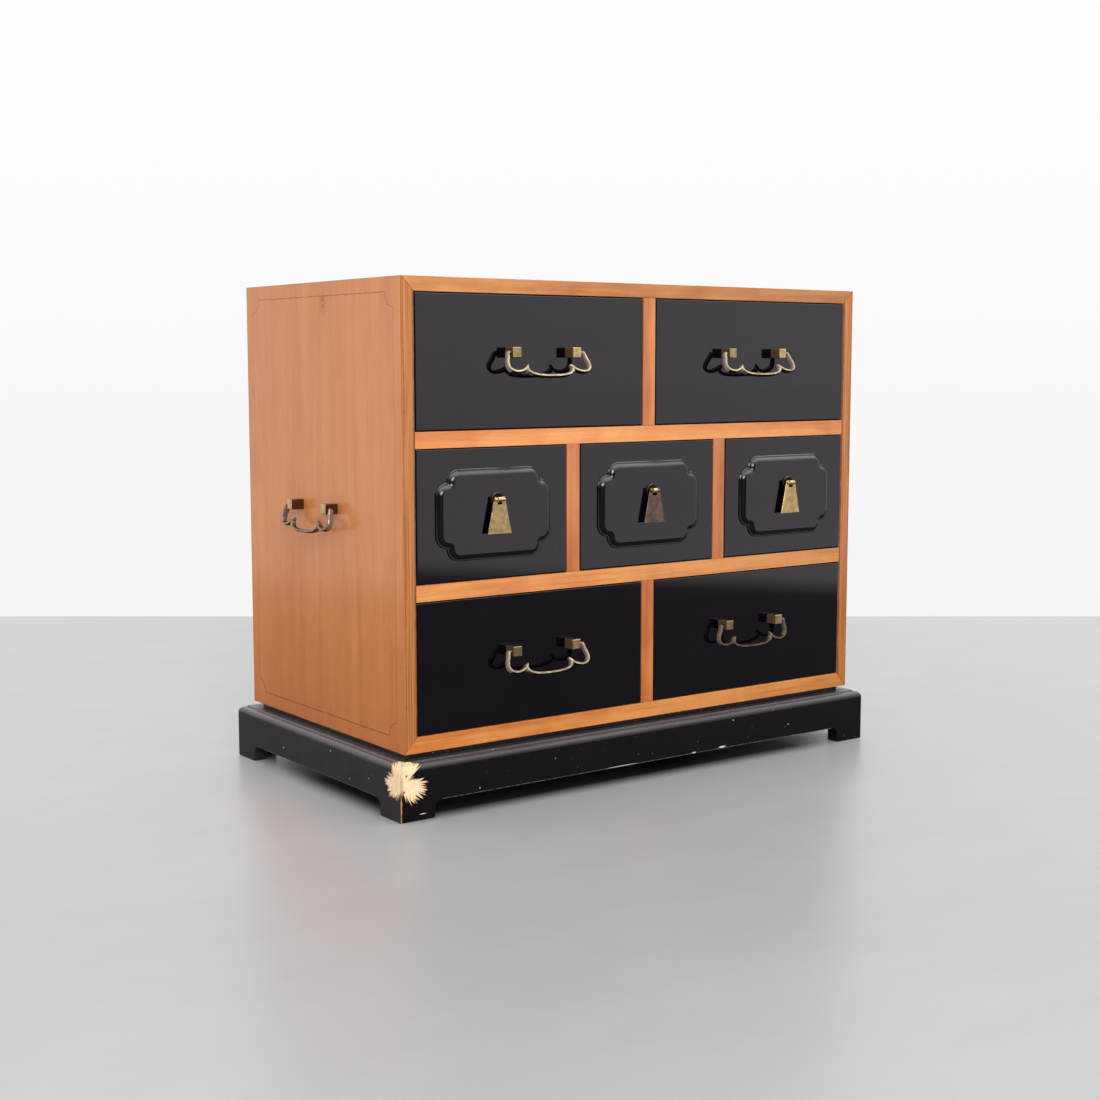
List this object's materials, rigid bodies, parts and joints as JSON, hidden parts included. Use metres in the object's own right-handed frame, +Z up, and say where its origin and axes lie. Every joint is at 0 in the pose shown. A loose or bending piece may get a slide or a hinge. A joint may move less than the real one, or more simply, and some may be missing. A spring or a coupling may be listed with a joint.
{
  "type": "cabinet chest",
  "caption": "Low chest of drawers on a bracket-footed plinth, with moulded plaques, swinging bail pulls, plate drops and side carrying handles.",
  "frame": {"origin": "on the floor, in the middle of the whole chest's outline, hanging pulls included", "axes": "+X to the right along the front as seen by a person facing it, +Y to the back, +Z up; the drawers open to -Y"},
  "size_m": [0.8926, 0.5062, 0.7241],
  "materials": {
    "case_wood": "satin varnish",
    "black_lacquer": "glossy black lacquer",
    "drawer_wood": "plain, unvarnished",
    "aged_brass": "aged, worn bright on the edges",
    "browned_brass": "darkened with age"
  },
  "bodies": {
    "chest": {"case_top": "case_wood", "case_bottom": "case_wood", "case_side_left": "case_wood", "case_side_right": "case_wood", "case_back": "drawer_wood", "web_frame_upper": "case_wood", "web_frame_lower": "case_wood", "divider_top": "case_wood", "divider_middle_left": "case_wood", "divider_middle_right": "case_wood", "divider_bottom": "case_wood", "plinth_front": "black_lacquer", "plinth_back": "black_lacquer", "plinth_left": "black_lacquer", "plinth_right": "black_lacquer", "handle_left_post_left": "aged_brass", "handle_left_post_right": "aged_brass", "handle_right_post_left": "aged_brass", "handle_right_post_right": "aged_brass"},
    "drawer_top_left": {"drawer_top_left_front": "black_lacquer", "drawer_top_left_box": "drawer_wood", "drawer_top_left_bottom": "drawer_wood", "pull_top_left_post_left": "aged_brass", "pull_top_left_post_right": "aged_brass"},
    "drawer_top_right": {"drawer_top_right_front": "black_lacquer", "drawer_top_right_box": "drawer_wood", "drawer_top_right_bottom": "drawer_wood", "pull_top_right_post_left": "aged_brass", "pull_top_right_post_right": "aged_brass"},
    "drawer_middle_left": {"drawer_middle_left_front": "black_lacquer", "drawer_middle_left_box": "drawer_wood", "drawer_middle_left_bottom": "drawer_wood", "drop_left_post": "aged_brass"},
    "drawer_middle_centre": {"drawer_middle_centre_front": "black_lacquer", "drawer_middle_centre_box": "drawer_wood", "drawer_middle_centre_bottom": "drawer_wood", "drop_centre_post": "browned_brass"},
    "drawer_middle_right": {"drawer_middle_right_front": "black_lacquer", "drawer_middle_right_box": "drawer_wood", "drawer_middle_right_bottom": "drawer_wood", "drop_right_post": "aged_brass"},
    "drawer_bottom_left": {"drawer_bottom_left_front": "black_lacquer", "drawer_bottom_left_box": "drawer_wood", "drawer_bottom_left_bottom": "drawer_wood", "pull_bottom_left_post_left": "aged_brass", "pull_bottom_left_post_right": "aged_brass"},
    "drawer_bottom_right": {"drawer_bottom_right_front": "black_lacquer", "drawer_bottom_right_box": "drawer_wood", "drawer_bottom_right_bottom": "drawer_wood", "pull_bottom_right_post_left": "aged_brass", "pull_bottom_right_post_right": "aged_brass"},
    "pull_top_left_bail": {"pull_top_left_bail": "browned_brass"},
    "pull_top_right_bail": {"pull_top_right_bail": "browned_brass"},
    "pull_bottom_left_bail": {"pull_bottom_left_bail": "browned_brass"},
    "pull_bottom_right_bail": {"pull_bottom_right_bail": "browned_brass"},
    "handle_left_bail": {"handle_left_bail": "browned_brass"},
    "handle_right_bail": {"handle_right_bail": "browned_brass"},
    "drop_left_plate": {"drop_left_plate": "aged_brass"},
    "drop_centre_plate": {"drop_centre_plate": "browned_brass"},
    "drop_right_plate": {"drop_right_plate": "aged_brass"}
  },
  "joints": [
    {"name": "drawer_top_left_slide", "type": "slide", "parent": "chest", "child": "drawer_top_left", "axis": [0, -1, 0], "range_m": [0, 0.3]},
    {"name": "drawer_top_right_slide", "type": "slide", "parent": "chest", "child": "drawer_top_right", "axis": [0, -1, 0], "range_m": [0, 0.3]},
    {"name": "drawer_middle_left_slide", "type": "slide", "parent": "chest", "child": "drawer_middle_left", "axis": [0, -1, 0], "range_m": [0, 0.3]},
    {"name": "drawer_middle_centre_slide", "type": "slide", "parent": "chest", "child": "drawer_middle_centre", "axis": [0, -1, 0], "range_m": [0, 0.3]},
    {"name": "drawer_middle_right_slide", "type": "slide", "parent": "chest", "child": "drawer_middle_right", "axis": [0, -1, 0], "range_m": [0, 0.3]},
    {"name": "drawer_bottom_left_slide", "type": "slide", "parent": "chest", "child": "drawer_bottom_left", "axis": [0, -1, 0], "range_m": [0, 0.3]},
    {"name": "drawer_bottom_right_slide", "type": "slide", "parent": "chest", "child": "drawer_bottom_right", "axis": [0, -1, 0], "range_m": [0, 0.3]},
    {"name": "pull_top_left_swing", "type": "hinge", "parent": "drawer_top_left", "child": "pull_top_left_bail", "pos_m": [-0.1968, -0.23389, 0.62485], "axis": [-1, 0, 0], "range_deg": [-41.3, 171.3]},
    {"name": "pull_top_right_swing", "type": "hinge", "parent": "drawer_top_right", "child": "pull_top_right_bail", "pos_m": [0.1968, -0.23389, 0.62485], "axis": [-1, 0, 0], "range_deg": [-41.3, 171.3]},
    {"name": "pull_bottom_left_swing", "type": "hinge", "parent": "drawer_bottom_left", "child": "pull_bottom_left_bail", "pos_m": [-0.1968, -0.23389, 0.2136], "axis": [-1, 0, 0], "range_deg": [-36.3, 176.3]},
    {"name": "pull_bottom_right_swing", "type": "hinge", "parent": "drawer_bottom_right", "child": "pull_bottom_right_bail", "pos_m": [0.1968, -0.23389, 0.2136], "axis": [-1, 0, 0], "range_deg": [-16.3, 196.3]},
    {"name": "handle_left_swing", "type": "hinge", "parent": "chest", "child": "handle_left_bail", "pos_m": [-0.4335, 0.01411, 0.4066], "axis": [0, 1, 0], "range_deg": [-30.3, 182.3]},
    {"name": "handle_right_swing", "type": "hinge", "parent": "chest", "child": "handle_right_bail", "pos_m": [0.4335, 0.01411, 0.4066], "axis": [0, -1, 0], "range_deg": [-30.3, 182.3]},
    {"name": "drop_left_swing", "type": "hinge", "parent": "drawer_middle_left", "child": "drop_left_plate", "pos_m": [-0.27375, -0.23359, 0.42535], "axis": [-1, 0, 0], "range_deg": [-7, 187]},
    {"name": "drop_centre_swing", "type": "hinge", "parent": "drawer_middle_centre", "child": "drop_centre_plate", "pos_m": [0, -0.23359, 0.42535], "axis": [-1, 0, 0], "range_deg": [-7, 187]},
    {"name": "drop_right_swing", "type": "hinge", "parent": "drawer_middle_right", "child": "drop_right_plate", "pos_m": [0.27375, -0.23359, 0.42535], "axis": [-1, 0, 0], "range_deg": [-7, 187]}
  ]
}
